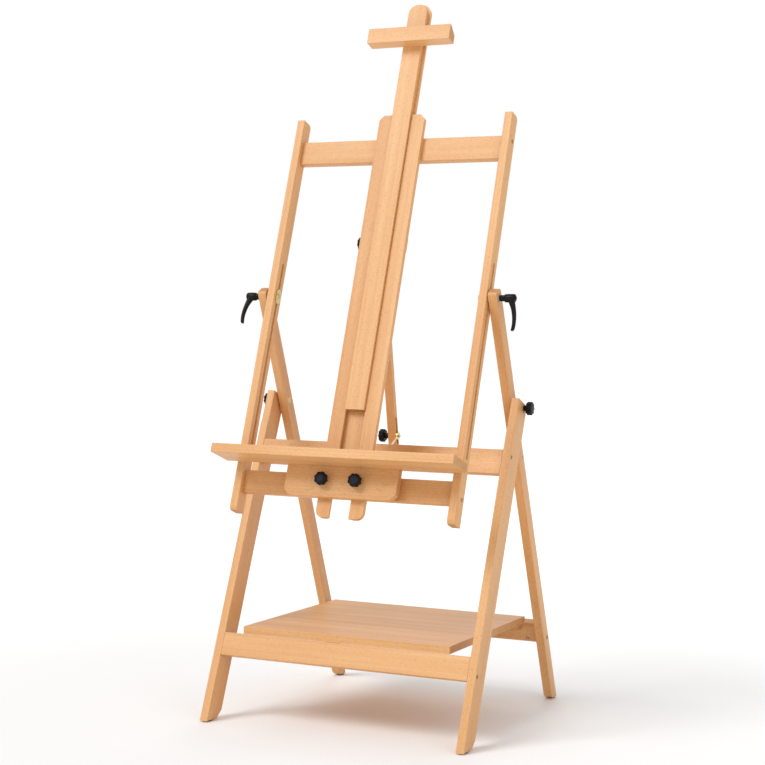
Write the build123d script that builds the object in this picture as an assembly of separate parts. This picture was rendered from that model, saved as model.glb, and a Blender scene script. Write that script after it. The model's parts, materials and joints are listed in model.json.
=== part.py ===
from build123d import *
import math
import os

# A convertible studio easel in beech, in millimetres.
# X is across the easel, +Y is towards its back, +Z is up, and the floor is Z = 0.
# Every frame of the easel is drawn lying straight in its own local axes, then leaned into place:
# local X is across, local Y is the depth behind the frame's front face, and local Z runs up the frame.

# Driving dimensions
STOCK = 20.0                # thickness of the beech boards
BASE_WIDTH = 680.0          # over the outer faces of the front legs, without the knobs
FRONT_LEAN = 21.6           # degrees that the front legs lean back
REAR_LEAN = 23.9            # degrees that the rear legs lean forward
PANEL_LEAN = 18.3           # degrees that the working panel leans back
EASE = 1.2                  # rounding of the board edges
PLAY = 0.3                  # gap between faces that slide past each other
RUN = 0.05                  # radial clearance of a pin that turns in its hole
GLIDE_HEIGHT = 3.0          # the feet stand on glides this high

FRONT_LEG_DEPTH = 59.0
FRONT_LEG_LENGTH = 847.0
FRONT_LEG_PIVOT = (41.0, 835.5)     # depth behind the front face, distance up the leg
REAR_LEG_WIDTH = 22.0
REAR_LEG_DEPTH = 33.0
REAR_LEG_PIVOT_TO_CLAMP = 284.0
REAR_LEG_TOP_MARGIN = 20.0
LEG_GAP = 4.0               # between a front leg and its rear leg
STILE_GAP = 3.0             # between a rear leg and its stile
LEVER_WASHER = 2.5

STILE_DEPTH = 36.5
STILE_BOTTOM = -183.0
STILE_TOP = 835.0
CLAMP_HEIGHT = 365.0        # the clamp studs' place up the stiles at rest
SLOT_BOTTOM = -23.0
SLOT_TOP = 448.0
RAIL_SETBACK = 13.5         # depth of the rails' front faces behind the stiles' front faces
TOP_RAIL = (719.0, 779.0)
LOWER_RAIL = (-134.5, -79.5)
GUIDE_FRONT = 0.5
GUIDE_OUTER = 61.0
GUIDE_INNER = 25.3
GUIDE_SPAN = (-186.0, 838.5)
LIP_OUTER = 31.5            # half-width of the groove behind the lips of the guide boards
LIP_DEPTH = 6.4             # thickness of those lips
MAST_HALF = 24.7
MAST_SPAN = (76.0, 1139.0)
MAST_PROUD = 7.0            # how far the mast stands in front of the guide boards
BACK_SHEET = 5.0
BACK_SHEET_HALF = 50.0

HOLDER_HALF = 111.5
HOLDER_SPAN = (1022.0, 1061.0)
HOLDER_DEPTH = 32.0
HOLDER_SLOPE = 17.0         # fall of the canvas holder's top towards its back

TRAY_HALF = 310.0
TRAY_DEPTH = 84.0
TRAY_SPAN = (-67.0, -45.0)
APRON_HALF = 144.5
APRON_THICK = 18.0
APRON_BOTTOM = -141.0
KNOB_SPREAD = 43.5
KNOB_HEIGHT = -101.0

CROSSBAR = (656.5, 717.0)
FRONT_RAIL = (166.0, 221.5)
REAR_RAIL = (163.5, 219.0)
REAR_RAIL_SETBACK = 13.0
SHELF_HALF = 269.0
SHELF_THICK = 18.0
SHELF_GAP = 4.0             # between the shelf's back edge and the rear rail
LEDGER_DEPTH = 24.0
LEDGER_HEIGHT = 18.0

STRUT_WIDTH = 22.0
STRUT_DEPTH = 16.0
STRUT_FOOT = (65.7, 760.0)          # the lower pivot, in the front frame
STRUT_HEAD = (46.0, 394.5)          # the upper pivot, in the panel's frame
STRUT_BELOW = 28.0
STRUT_ABOVE = 8.0
STRUT_SLOT = (-20.0, 47.0)
TRACK_SPAN = (4.0, 480.0)
LOCK_AXIS = (30.0, 508.0)           # the mast lock's shaft, in the panel's frame

M8 = 4.0
M6 = 3.0
DOWEL = 4.0
STUD_GRIP = 8.0             # how deep a stud is moulded into its knob's head
STAR_RADIUS = 16.0
STAR_LOBES = 8
STAR_HEAD = 11.5
STAR_NECK = 9.0
LEVER_COLLAR = 12.0
LEVER_HUB_END = 37.0
LEVER_HUB_RADIUS = 10.2
LEVER_REACH = 77.0
LEFT_LEVER_TURN = 29.0      # degrees that the left lever is swung towards the front


# Places worked out from the driving dimensions
def lean_point(origin, lean, depth, height):
    """The (y, z) of a point given by its depth and height in a leaning frame."""
    a = math.radians(lean)
    return (origin[0] + height * math.sin(a) + depth * math.cos(a),
            origin[1] + height * math.cos(a) - depth * math.sin(a))


def lean_origin(point, lean, depth, height):
    """The frame's origin that puts (depth, height) at the given (y, z)."""
    y, z = lean_point((0.0, 0.0), lean, depth, height)
    return (point[0] - y, point[1] - z)


def place_frames(front_foot_y):
    """The origins of the front, rear and panel frames, the clamp axis and the pivot's height."""
    front = (front_foot_y, 0.0)
    pivot = lean_point(front, FRONT_LEAN, *FRONT_LEG_PIVOT)
    rear_depth = REAR_LEG_DEPTH / 2
    a = math.radians(REAR_LEAN)
    pivot_height = (pivot[1] - rear_depth * math.sin(a)) / math.cos(a)
    rear = lean_origin(pivot, -REAR_LEAN, rear_depth, pivot_height)
    clamp = lean_point(rear, -REAR_LEAN, rear_depth, pivot_height + REAR_LEG_PIVOT_TO_CLAMP)
    panel = lean_origin(clamp, PANEL_LEAN, STILE_DEPTH / 2, CLAMP_HEIGHT)
    return front, rear, panel, clamp, pivot_height


APRON_BACK = GUIDE_FRONT - PLAY
APRON_FRONT = APRON_BACK - APRON_THICK
TRAY_FRONT = APRON_FRONT - TRAY_DEPTH

_, trial_rear, trial_panel, _, _ = place_frames(0.0)
foremost = lean_point(trial_panel, PANEL_LEAN, TRAY_FRONT, TRAY_SPAN[0])[0]
rearmost = trial_rear[0] + REAR_LEG_DEPTH / math.cos(math.radians(REAR_LEAN))
FRONT0, REAR0, PANEL0, CLAMP, REAR_PIVOT_HEIGHT = place_frames(-(foremost + rearmost) / 2)

FRONT = Location((0, FRONT0[0], FRONT0[1]), (-FRONT_LEAN, 0, 0))
REAR = Location((0, REAR0[0], REAR0[1]), (REAR_LEAN, 0, 0))
PANEL = Location((0, PANEL0[0], PANEL0[1]), (-PANEL_LEAN, 0, 0))

FRONT_OUT = BASE_WIDTH / 2
FRONT_IN = FRONT_OUT - STOCK
REAR_OUT = FRONT_IN - LEG_GAP
REAR_IN = REAR_OUT - REAR_LEG_WIDTH
STILE_OUT = REAR_IN - STILE_GAP
STILE_IN = STILE_OUT - STOCK
REAR_LEG_TOP = REAR_PIVOT_HEIGHT + REAR_LEG_PIVOT_TO_CLAMP + REAR_LEG_TOP_MARGIN
CHANNEL_BACK = RAIL_SETBACK
FLANGE_FRONT = GUIDE_FRONT + LIP_DEPTH + PLAY
FLANGE_BACK = CHANNEL_BACK - PLAY
MAST_FRONT = GUIDE_FRONT - MAST_PROUD
SHEET_BACK = CHANNEL_BACK + BACK_SHEET

SHELF_FRONT_EDGE = lean_point(FRONT0, FRONT_LEAN, 0.0, FRONT_RAIL[1])
STRUT_FOOT_YZ = lean_point(FRONT0, FRONT_LEAN, *STRUT_FOOT)
STRUT_HEAD_YZ = lean_point(PANEL0, PANEL_LEAN, *STRUT_HEAD)
STRUT_RUN = (STRUT_HEAD_YZ[0] - STRUT_FOOT_YZ[0], STRUT_HEAD_YZ[1] - STRUT_FOOT_YZ[1])
STRUT_LENGTH = math.hypot(*STRUT_RUN)
STRUT_LEAN = math.degrees(math.atan2(STRUT_RUN[0], STRUT_RUN[1]))
STRUT = Location((0, STRUT_FOOT_YZ[0], STRUT_FOOT_YZ[1]), (-STRUT_LEAN, 0, 0))

NODES = {}


# Shared shapes
def board(x, y, z, ease=EASE):
    """A board between the given (low, high) spans, with eased edges."""
    size = (x[1] - x[0], y[1] - y[0], z[1] - z[0])
    box = Box(*size)
    if ease:
        box = fillet(box.edges(), ease)
    return Pos((x[0] + x[1]) / 2, (y[0] + y[1]) / 2, (z[0] + z[1]) / 2) * box


def side_board(points, x, rounds=(), ease=EASE):
    """A board cut to an outline of (depth, height) points, with some corners rounded."""
    corners = list(points) + [points[0]]
    outline = Polyline(*[(0, y, z) for y, z in corners])
    body = extrude(make_face(outline), x[1] - x[0], dir=(1, 0, 0))
    body = Pos(x[0], 0, 0) * body
    for (y, z), radius in rounds:
        near = [e for e in body.edges().filter_by(Axis.X)
                if abs(e.center().Y - y) < 0.5 and abs(e.center().Z - z) < 0.5]
        body = fillet(near, radius)
    if ease:
        body = fillet(body.faces().filter_by(Axis.X).edges(), ease)
    return body


def face_board(points, y, rounds=(), ease=EASE):
    """A board cut to an outline of (across, height) points, with some corners rounded."""
    corners = list(points) + [points[0]]
    outline = Polyline(*[(x, 0, z) for x, z in corners])
    body = extrude(make_face(outline), y[1] - y[0], dir=(0, 1, 0))
    body = Pos(0, y[0], 0) * body
    for (x, z), radius in rounds:
        near = [e for e in body.edges().filter_by(Axis.Y)
                if abs(e.center().X - x) < 0.5 and abs(e.center().Z - z) < 0.5]
        body = fillet(near, radius)
    if ease:
        body = fillet(body.faces().filter_by(Axis.Y).edges(), ease)
    return body


def rod_x(radius, x, y, z):
    """A round bar along local X."""
    return Pos((x[0] + x[1]) / 2, y, z) * Rot(0, 90, 0) * Cylinder(radius, x[1] - x[0])


def rod_y(radius, x, y, z):
    """A round bar along local Y."""
    return Pos(x, (y[0] + y[1]) / 2, z) * Rot(90, 0, 0) * Cylinder(radius, y[1] - y[0])


def hexagon_x(flats, x, y, z):
    """A hexagonal nut's outline along local X."""
    prism = extrude(RegularPolygon(flats / 2, 6, major_radius=False), x[1] - x[0])
    return Pos(x[0], y, z) * Rot(0, 90, 0) * prism


def both_sides(make):
    """The same piece on the left and on the right."""
    return [make(-1), make(1)]


def span(side, low, high):
    """A span across the easel, measured outwards from its centre plane."""
    return (low, high) if side > 0 else (-high, -low)


def star_head(neck_length, bore):
    """A scalloped star knob, its neck's end at the origin and its face along +Z."""
    upright = (Align.CENTER, Align.CENTER, Align.MIN)
    scallop = 3.4
    head = Cylinder(STAR_RADIUS, STAR_HEAD, align=upright)
    for i in range(STAR_LOBES):
        turn = Rot(0, 0, (i + 0.5) * 360 / STAR_LOBES)
        head -= turn * Pos(STAR_RADIUS + 1.4, 0, 0) * Cylinder(scallop, 3 * STAR_HEAD)
    head = fillet(head.faces().sort_by(Axis.Z)[-1].edges(), 2.5)
    head = fillet(head.faces().sort_by(Axis.Z)[0].edges(), 1.5)
    neck = Cylinder(7.0, neck_length + 1, align=upright)
    cap = Pos(0, 0, neck_length + STAR_HEAD - 1) * Cylinder(9.0, 1.8, align=upright)
    knob = neck + Pos(0, 0, neck_length) * head + cap
    return knob - Cylinder(bore, neck_length + STUD_GRIP, align=upright)


def end_bolt(side, outer, inner, y, z, nut_side, nut_span):
    """A joint bolt from a leg's outer face into a rail's end, with its barrel nut.

    Returns the metal, the leg's hole and the rail's hole."""
    head_radius, head_height, sink, reach, nut_radius = 5.5, 4.0, 2.0, 46.0, 5.0
    head = rod_x(head_radius, span(side, outer - sink - head_height, outer - sink), y, z)
    socket = rod_x(M6, span(side, outer - sink - 2.5, outer - sink + 1), y, z)
    shank = rod_x(M6, span(side, inner - reach, outer - sink - head_height), y, z)
    x_nut = side * (inner - 26.0)
    nut = rod_y(nut_radius, x_nut, nut_span, z) - shank
    leg_hole = rod_x(head_radius, span(side, outer - sink - head_height, outer + 1), y, z) + shank
    depth = (nut_side, nut_span[1]) if nut_side < nut_span[0] else (nut_span[0], nut_side)
    rail_hole = rod_y(nut_radius, x_nut, depth, z) + shank
    return [(head - socket) + shank, nut], leg_hole, rail_hole


def end_dowel(side, inner, y, z):
    """A beech dowel between a leg and a rail's end, as a rod to cut from both."""
    into_leg, into_rail = 10.0, 25.0
    return rod_x(DOWEL, span(side, inner - into_rail, inner + into_leg), y, z)


def keep(name, location, *shapes):
    """Leans the shapes into place and keeps them as one named piece."""
    solids = []
    for shape in shapes:
        solids += [location * s for s in shape.solids()]
    NODES[name] = solids[0] if len(solids) == 1 else Compound(children=solids)


# Front frame
def front_leg_outline():
    foot = GLIDE_HEIGHT
    a = math.radians(FRONT_LEAN)

    def on_floor(depth):
        return (depth, (foot + depth * math.sin(a)) / math.cos(a))

    heel = 14.0
    back_low = on_floor(FRONT_LEG_DEPTH - heel)
    step, step_height = 2.5, 762.0
    return [on_floor(0.0), back_low, (FRONT_LEG_DEPTH, back_low[1] + 1.6 * heel),
            (FRONT_LEG_DEPTH, FRONT_LEG_LENGTH), (step, FRONT_LEG_LENGTH),
            (step, step_height), (0.0, step_height)]


def front_frame():
    middle = STOCK / 2
    outline = front_leg_outline()
    top_back = (FRONT_LEG_DEPTH, FRONT_LEG_LENGTH)
    crossbar = board((-FRONT_IN, FRONT_IN), (0, STOCK), CROSSBAR)
    rail = board((-FRONT_IN, FRONT_IN), (0, STOCK), FRONT_RAIL)
    metal, dowels, glides, spacers = [], [], [], []
    for side, name in ((-1, "left"), (1, "right")):
        leg = side_board(outline, span(side, FRONT_IN, FRONT_OUT), [(top_back, 10.0)])
        for z in (CROSSBAR[0] + 16.0, FRONT_RAIL[1] - 14.0):
            dowel = end_dowel(side, FRONT_IN, middle, z)
            leg -= dowel
            crossbar -= dowel
            rail -= dowel
            dowels.append(dowel)
        for z in (CROSSBAR[1] - 15.0, FRONT_RAIL[0] + 13.0):
            bolt, leg_hole, rail_hole = end_bolt(
                side, FRONT_OUT, FRONT_IN, middle, z, STOCK + 1, (4.0, STOCK - 3.0))
            leg -= leg_hole
            crossbar -= rail_hole
            rail -= rail_hole
            metal += bolt
        y, z = FRONT_LEG_PIVOT
        leg -= rod_x(M8 + RUN, span(side, FRONT_IN - 1, FRONT_OUT + 1), y, z)
        gap = 0.2
        ring = rod_x(12.0, span(side, REAR_OUT + gap, FRONT_IN), y, z)
        spacers.append(ring - rod_x(M8 + RUN, span(side, REAR_OUT, FRONT_IN), y, z))
        a = math.radians(FRONT_LEAN)
        glide_y = FRONT0[0] + 24.0 / math.cos(a)
        glide_x = side * (FRONT_OUT - STOCK / 2)
        disc = Cylinder(9.5, GLIDE_HEIGHT, align=(Align.CENTER, Align.CENTER, Align.MIN))
        disc = fillet(disc.faces().sort_by(Axis.Z)[0].edges(), 1.0)
        nail = Pos(0, 0, GLIDE_HEIGHT) * Cylinder(
            1.2, 12.0, align=(Align.CENTER, Align.CENTER, Align.MIN))
        glides.append(Pos(glide_x, glide_y, 0) * (disc + nail))
        leg -= FRONT.inverse() * (Pos(glide_x, glide_y, 0) * nail)
        keep("front_leg_" + name, FRONT, leg)
    keep("middle_crossbar", FRONT, crossbar)
    keep("lower_front_rail", FRONT, rail)
    keep("front_joint_bolts", FRONT, *metal)
    keep("front_dowels", FRONT, *dowels)
    keep("front_foot_glides", Location(), *glides)
    keep("leg_spacer_washers", FRONT, *spacers)


def strut_bracket():
    """A brass angle on the crossbar's back that carries the strut's foot."""
    plate = 3.0
    near, far = STRUT_WIDTH / 2 + 0.6, STRUT_WIDTH / 2 + 0.6 + plate
    y, z = STRUT_FOOT
    eye = 10.0
    low, high = CROSSBAR[0] + 8.0, CROSSBAR[1] - 2.0
    neck = 14.0
    web = side_board([(STOCK, high - neck), (y - 6, z - eye + 3), (y + 4, z + eye - 1), (STOCK, high)],
                     (near, far), ease=0)
    web += rod_x(eye, (near, far), y, z)
    foot = board((near, near + 24.0), (STOCK, STOCK + plate), (low, high), ease=0)
    bracket = web + foot - rod_x(M6 + RUN, (near - 1, far + 1), y, z)
    screws = []
    for height in (low + 12.0, high - 12.0):
        x = near + 15.0
        head = rod_y(4.0, x, (STOCK + plate, STOCK + plate + 1.8), height)
        shank = rod_y(2.0, x, (STOCK - 14.0, STOCK + plate), height)
        bracket -= shank
        NODES["middle_crossbar"] -= FRONT * shank
        screws.append(head + shank)
    keep("strut_bracket", FRONT, bracket)
    keep("strut_bracket_screws", FRONT, *screws)


# Rear frame
def rear_frame():
    mid = REAR_LEG_DEPTH / 2
    a = math.radians(REAR_LEAN)

    def on_floor(depth):
        return (depth, (GLIDE_HEIGHT - depth * math.sin(a)) / math.cos(a))

    toe = 8.0
    outline = [(0.0, on_floor(toe)[1] + 1.3 * toe), on_floor(toe), on_floor(REAR_LEG_DEPTH),
               (REAR_LEG_DEPTH, REAR_LEG_TOP), (0.0, REAR_LEG_TOP)]
    tops = [((REAR_LEG_DEPTH, REAR_LEG_TOP), 9.0), ((0.0, REAR_LEG_TOP), 9.0)]
    back = REAR_RAIL_SETBACK + STOCK
    rail = board((-REAR_IN, REAR_IN), (REAR_RAIL_SETBACK, back), REAR_RAIL)
    clamp_height = REAR_PIVOT_HEIGHT + REAR_LEG_PIVOT_TO_CLAMP
    metal, dowels, glides, inserts, rings = [], [], [], [], []
    for side, name in ((-1, "left"), (1, "right")):
        leg = side_board(outline, span(side, REAR_IN, REAR_OUT), tops)
        rail_middle = REAR_RAIL_SETBACK + STOCK / 2
        bolt, leg_hole, rail_hole = end_bolt(
            side, REAR_OUT, REAR_IN, rail_middle, REAR_RAIL[0] + 12.0, REAR_RAIL_SETBACK - 1,
            (REAR_RAIL_SETBACK + 3.0, back - 3.0))
        dowel = end_dowel(side, REAR_IN, rail_middle, REAR_RAIL[1] - 16.0)
        leg -= leg_hole + dowel
        rail -= rail_hole + dowel
        metal += bolt
        dowels.append(dowel)
        sleeve = 6.0
        bore = rod_x(sleeve, span(side, REAR_IN, REAR_OUT), mid, REAR_PIVOT_HEIGHT)
        leg -= bore
        inserts.append(bore - rod_x(M8 + RUN, span(side, REAR_IN, REAR_OUT), mid, REAR_PIVOT_HEIGHT))
        leg -= rod_x(M8 + RUN, span(side, REAR_IN - 1, REAR_OUT + 1), mid, clamp_height)
        peg_hole = rod_x(3.0, span(side, REAR_OUT - 12.0, REAR_OUT + 1), REAR_LEG_DEPTH - 8.0,
                         REAR_PIVOT_HEIGHT - 136.0)
        leg -= peg_hole
        ring = rod_x(11.0, span(side, STILE_OUT + 0.2, REAR_IN), mid, clamp_height)
        rings.append(ring - rod_x(M8 + RUN, span(side, STILE_OUT, REAR_IN), mid, clamp_height))
        ring = rod_x(10.0, span(side, REAR_OUT, REAR_OUT + LEVER_WASHER), mid, clamp_height)
        rings.append(ring - rod_x(M8 + RUN, span(side, REAR_OUT, REAR_OUT + 3), mid, clamp_height))
        glide_y = REAR0[0] + 23.0
        glide_x = side * (REAR_OUT - REAR_LEG_WIDTH / 2)
        disc = Cylinder(9.5, GLIDE_HEIGHT, align=(Align.CENTER, Align.CENTER, Align.MIN))
        disc = fillet(disc.faces().sort_by(Axis.Z)[0].edges(), 1.0)
        nail = Pos(0, 0, GLIDE_HEIGHT) * Cylinder(
            1.2, 12.0, align=(Align.CENTER, Align.CENTER, Align.MIN))
        glides.append(Pos(glide_x, glide_y, 0) * (disc + nail))
        leg -= REAR.inverse() * (Pos(glide_x, glide_y, 0) * nail)
        keep("rear_leg_" + name, REAR, leg)
    keep("lower_rear_rail", REAR, rail)
    keep("rear_joint_bolts", REAR, *metal)
    keep("rear_dowels", REAR, *dowels)
    keep("rear_foot_glides", Location(), *glides)
    keep("pivot_inserts", REAR, *inserts)
    keep("clamp_side_washers", REAR, *rings)


def shelf_and_ledger():
    """The shelf lies on the front rail and on a ledger screwed to the rear rail."""
    y_front, z_low = SHELF_FRONT_EDGE
    a = math.radians(REAR_LEAN)

    def rail_face(z):
        return REAR0[0] + (REAR_RAIL_SETBACK - z * math.sin(a)) / math.cos(a)

    shelf = board((-SHELF_HALF, SHELF_HALF), (y_front, rail_face(z_low + SHELF_THICK) - SHELF_GAP),
                  (z_low, z_low + SHELF_THICK))
    keep("shelf", Location(), shelf)
    top = z_low - 0.3
    low = top - LEDGER_HEIGHT
    front = rail_face(top) - LEDGER_DEPTH
    outline = [(rail_face(top), top), (front, top), (front, low), (rail_face(low), low)]
    half = REAR_IN - 40.0
    keep("shelf_ledger", Location(), side_board(outline, (-half, half), ease=0))


# Turning knobs and levers
def pivot_knobs():
    y, z = FRONT_LEG_PIVOT
    base = FRONT_OUT + PLAY
    for side, name in ((-1, "left"), (1, "right")):
        turn = Rot(0, 90 * side, 0)
        knob = Pos(side * base, y, z) * turn * star_head(STAR_NECK, M8)
        stud = rod_x(M8, span(side, REAR_IN + 1.5, base + STAR_NECK + STUD_GRIP), y, z)
        keep("pivot_knob_" + name, FRONT, knob)
        keep("pivot_stud_" + name, FRONT, stud)


def clamp_levers():
    """Each lever is drawn with its arm down and turned about the clamp axis."""
    start = REAR_OUT + LEVER_WASHER + PLAY
    collar_end, hub_end = start + LEVER_COLLAR, start + LEVER_HUB_END
    arm = [(hub_end - 17.5, 0.0), (hub_end - 10.5, -20.0), (hub_end - 7.6, -42.0),
           (hub_end - 9.6, -LEVER_REACH + 6.0), (hub_end - 5.5, -LEVER_REACH),
           (hub_end - 0.3, -LEVER_REACH + 9.0), (hub_end + 2.7, -42.0), (hub_end + 1.6, -18.0),
           (hub_end - 1.0, 0.0)]
    inner = Spline(*[(x, 0, z) for x, z in arm[:4]])
    tip = Polyline(*[(x, 0, z) for x, z in arm[3:6]])
    outer = Spline(*[(x, 0, z) for x, z in arm[5:]])
    root = Line((arm[-1][0], 0, arm[-1][1]), (arm[0][0], 0, arm[0][1]))
    blade = extrude(make_face([inner, tip, outer, root]), 6.2, both=True, dir=(0, 1, 0))
    blade = fillet(blade.faces().filter_by(Axis.Y).edges(), 2.4)
    collar = rod_x(7.6, (start, collar_end + 1), 0, 0)
    hub = fillet(rod_x(LEVER_HUB_RADIUS, (collar_end, hub_end), 0, 0).edges(), 2.0)
    lever = collar + hub + blade
    lever -= rod_x(M8 + RUN, (start - 1, hub_end - 10.0), 0, 0)
    for side, name, swing in ((-1, "left", LEFT_LEVER_TURN), (1, "right", 0.0)):
        shape = lever if side > 0 else mirror(lever, about=Plane.YZ)
        axis = Location((0, CLAMP[0], CLAMP[1]), (-swing, 0, 0))
        keep("clamp_lever_" + name, axis, shape)


def tilt_pivot():
    """The studs that pass through the rear legs and the stiles' slots, with their nuts."""
    axis = Location((0, CLAMP[0], CLAMP[1]))
    stud_out = REAR_OUT + LEVER_WASHER + PLAY + 25.0
    washer, nut, stud_end = 2.0, 4.0, 1.0
    face = STILE_IN - PLAY
    studs = both_sides(lambda s: rod_x(M8, span(s, face - washer - nut - stud_end, stud_out), 0, 0))

    def long_washer(side):
        """A washer with round ends that lies along the stile, over its slot."""
        half, reach = 10.0, 9.0
        x = span(side, face - washer, face)
        plate = board(x, (-half, half), (-reach, reach), ease=0)
        plate += rod_x(half, x, 0, reach) + rod_x(half, x, 0, -reach)
        return Rot(-PANEL_LEAN, 0, 0) * plate - rod_x(M8, x, 0, 0)

    rings = both_sides(long_washer)
    nuts = both_sides(lambda s: hexagon_x(13.0, span(s, face - washer - nut, face - washer), 0, 0)
                      - rod_x(M8, span(s, face - washer - nut, face - washer), 0, 0))
    keep("clamp_studs", axis, *studs)
    keep("clamp_inner_washers", axis, *rings)
    keep("clamp_nuts", axis, *nuts)


# Working panel
def panel_frame():
    depth = STILE_DEPTH / 2
    outline = [(0.0, STILE_BOTTOM), (STILE_DEPTH, STILE_BOTTOM), (STILE_DEPTH, STILE_TOP),
               (0.0, STILE_TOP)]
    rounds = [((0.0, STILE_BOTTOM), 12.0), ((STILE_DEPTH, STILE_TOP), 10.0)]
    slot_half = M8 + 0.4
    rail_depth = (RAIL_SETBACK, RAIL_SETBACK + STOCK)
    rails = {"panel_top_rail": board((-STILE_IN, STILE_IN), rail_depth, TOP_RAIL),
             "panel_lower_rail": board((-STILE_IN, STILE_IN), rail_depth, LOWER_RAIL)}
    metal, dowels = [], []
    middle = RAIL_SETBACK + STOCK / 2
    fixings = {"panel_top_rail": (TOP_RAIL[1] - 12.0, TOP_RAIL[0] + 16.0),
               "panel_lower_rail": (LOWER_RAIL[0] + 14.5, LOWER_RAIL[1] - 14.0)}
    for side, name in ((-1, "left"), (1, "right")):
        stile = side_board(outline, span(side, STILE_IN, STILE_OUT), rounds)
        x = span(side, STILE_IN - 1, STILE_OUT + 1)
        stile -= board(x, (depth - slot_half, depth + slot_half), (SLOT_BOTTOM, SLOT_TOP), ease=0)
        stile -= rod_x(slot_half, x, depth, SLOT_BOTTOM) + rod_x(slot_half, x, depth, SLOT_TOP)
        for rail, (bolt_height, dowel_height) in fixings.items():
            bolt, stile_hole, rail_hole = end_bolt(
                side, STILE_OUT, STILE_IN, middle, bolt_height, rail_depth[1] + 1,
                (RAIL_SETBACK + 4.0, rail_depth[1] - 3.0))
            dowel = end_dowel(side, STILE_IN, middle, dowel_height)
            stile -= stile_hole + dowel
            rails[rail] -= rail_hole + dowel
            metal += bolt
            dowels.append(dowel)
        keep("panel_stile_" + name, PANEL, stile)
    for name, rail in rails.items():
        keep(name, PANEL, rail)
    keep("panel_joint_bolts", PANEL, *metal)
    keep("panel_dowels", PANEL, *dowels)


def mast_channel():
    """Two guide boards with lips, and the sheet behind them, make the channel of the mast."""
    bottom, top = GUIDE_SPAN
    corner = 12.0
    for side, name in ((-1, "left"), (1, "right")):
        outline = [(side * GUIDE_INNER, bottom), (side * GUIDE_OUTER, bottom),
                   (side * GUIDE_OUTER, top - corner), (side * (GUIDE_OUTER - corner), top),
                   (side * GUIDE_INNER, top)]
        guide = face_board(outline, (GUIDE_FRONT, CHANNEL_BACK),
                           [((side * GUIDE_OUTER, bottom), 18.0)], ease=0.8)
        groove = span(side, GUIDE_INNER - 2, LIP_OUTER)
        behind_lip = (GUIDE_FRONT + LIP_DEPTH, CHANNEL_BACK + 1)
        guide -= board(groove, behind_lip, (bottom - 1, top + 1), ease=0)
        keep("guide_board_" + name, PANEL, guide)
    sheet = board((-BACK_SHEET_HALF, BACK_SHEET_HALF), (CHANNEL_BACK, SHEET_BACK),
                  (LOWER_RAIL[1], TOP_RAIL[0]), ease=0)
    window = 18.0
    y, z = LOCK_AXIS
    sheet -= board((-26.0, 26.0), (0, 2 * SHEET_BACK), (z - window, z + window), ease=0)
    keep("channel_back", PANEL, sheet)
    web, flange = 6.0, 13.0
    track = board((-web, web), (SHEET_BACK, SHEET_BACK + 6.5), TRACK_SPAN, ease=0)
    track += board((-flange, flange), (SHEET_BACK + 6.0, SHEET_BACK + 11.0), TRACK_SPAN, ease=0)
    keep("strut_track", PANEL, track)
    blocks = []
    for side in (-1, 1):
        block = board(span(side, 29.0, 48.0), (SHEET_BACK, SHEET_BACK + 24.0), (z - 18.0, z + 18.0))
        blocks.append(block - rod_x(5.0 + RUN, span(side, 28.0, 49.0), y, z))
    keep("mast_lock_blocks", PANEL, *blocks)


def mast_lock():
    """A shaft with an eccentric that presses on the back of the mast, turned by a star knob."""
    y, z = LOCK_AXIS
    shaft_radius, cam_radius, offset = 5.0, 13.8, 2.4
    knob_base = 53.0
    neck = 10.0
    shaft = rod_x(shaft_radius, (-knob_base - neck - STUD_GRIP, 47.0), y, z)
    cam = rod_x(cam_radius, (-23.0, 23.0), y - offset, z)
    keep("mast_lock_shaft", PANEL, shaft + cam)
    knob = Pos(-knob_base, y, z) * Rot(0, -90, 0) * star_head(neck, shaft_radius)
    keep("mast_lock_knob", PANEL, knob)


def mast_and_holder():
    bottom, top = MAST_SPAN
    shoulder = top - MAST_HALF
    front = board((-MAST_HALF, MAST_HALF), (MAST_FRONT, FLANGE_FRONT), (bottom, shoulder), ease=0)
    front += rod_y(MAST_HALF, 0, (MAST_FRONT, FLANGE_FRONT), shoulder)
    flange_half = LIP_OUTER - PLAY
    flange_depth = (FLANGE_FRONT - 0.01, FLANGE_BACK)
    flange = board((-flange_half, flange_half), flange_depth, (bottom, shoulder), ease=0)
    flange += rod_y(flange_half, 0, flange_depth, shoulder)
    mast = front + flange
    low, high = HOLDER_SPAN
    front_face, back_face = MAST_FRONT - HOLDER_DEPTH, MAST_FRONT
    outline = [(front_face, low), (back_face, low), (back_face, high - HOLDER_SLOPE),
               (front_face + 3.0, high), (front_face, high)]
    holder = side_board(outline, (-HOLDER_HALF, HOLDER_HALF))
    middle = HOLDER_SPAN[0] + 12.0
    screws = []
    for x in (-14.0, 14.0):
        shank = rod_y(2.5, x, (MAST_FRONT - 22.0, FLANGE_BACK - 3.0), middle)
        head = rod_y(5.0, x, (FLANGE_BACK - 3.0, FLANGE_BACK - 0.2), middle)
        mast -= shank + rod_y(5.0, x, (FLANGE_BACK - 3.0, FLANGE_BACK + 1), middle)
        holder -= shank
        screws.append(shank + head)
    keep("mast", PANEL, mast)
    keep("top_canvas_holder", PANEL, holder)
    keep("top_holder_screws", PANEL, *screws)


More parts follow.
